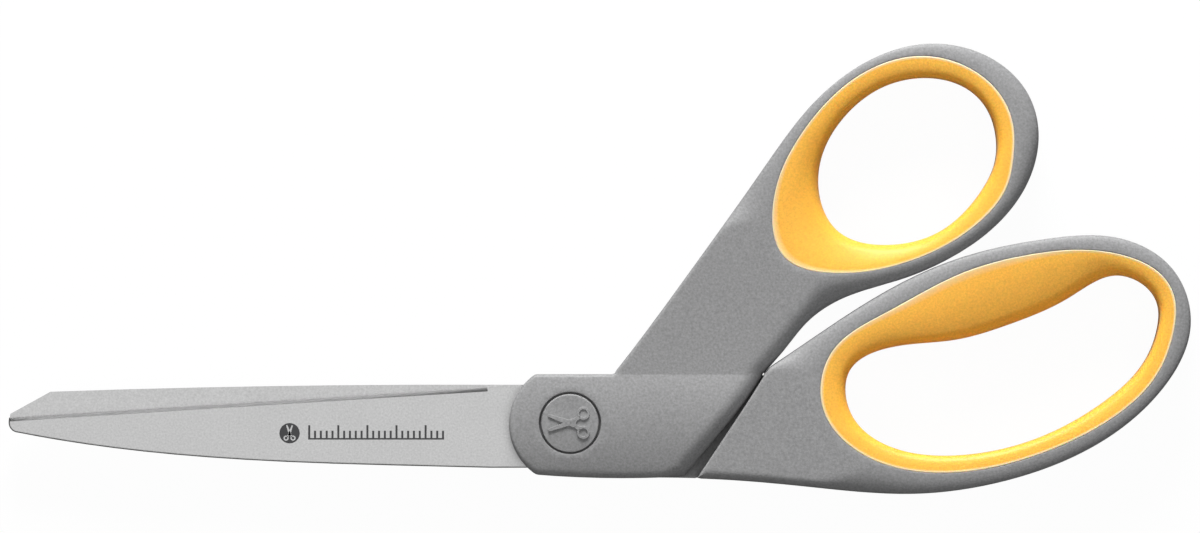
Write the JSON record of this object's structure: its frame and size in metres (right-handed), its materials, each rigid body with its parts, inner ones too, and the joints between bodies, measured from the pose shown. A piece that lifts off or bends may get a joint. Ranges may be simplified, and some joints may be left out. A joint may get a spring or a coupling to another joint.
{
  "type": "office scissors",
  "caption": "Bent-handle office scissors: coated steel blades on a screw pivot, hard grey handles with a round thumb loop and a long finger loop, soft amber grips.",
  "frame": {"origin": "on the pivot's axis, in the plane that the rear face rests on (the flat face of the rear pivot cap)", "axes": "+X from the pivot to the handles along the closed blades, +Y towards the thumb loop, +Z along the pivot from the rear face to the front face"},
  "size_m": [0.2031, 0.0773, 0.011],
  "materials": {
    "coated_steel": "satin, fine bead-blasted titanium-type coating",
    "grey_plastic": "matt moulded, fine spark texture",
    "amber_rubber": "matt soft-touch elastomer",
    "bright_steel": "turned, zinc plated"
  },
  "bodies": {
    "rear_half": {"rear_blade": "coated_steel", "rear_handle": "grey_plastic", "rear_grip": "amber_rubber", "rear_cap": "grey_plastic", "pivot_screw": "bright_steel", "thrust_washer": "bright_steel", "spring_washer": "bright_steel", "pivot_nut": "bright_steel"},
    "front_half": {"front_blade": "coated_steel", "front_handle": "grey_plastic", "front_grip": "amber_rubber", "front_cap": "grey_plastic"}
  },
  "joints": [
    {"name": "blade_pivot", "type": "hinge", "parent": "rear_half", "child": "front_half", "pos_m": [0, 0, 0.0055], "axis": [0, 0, 1], "range_deg": [0, 97]}
  ]
}
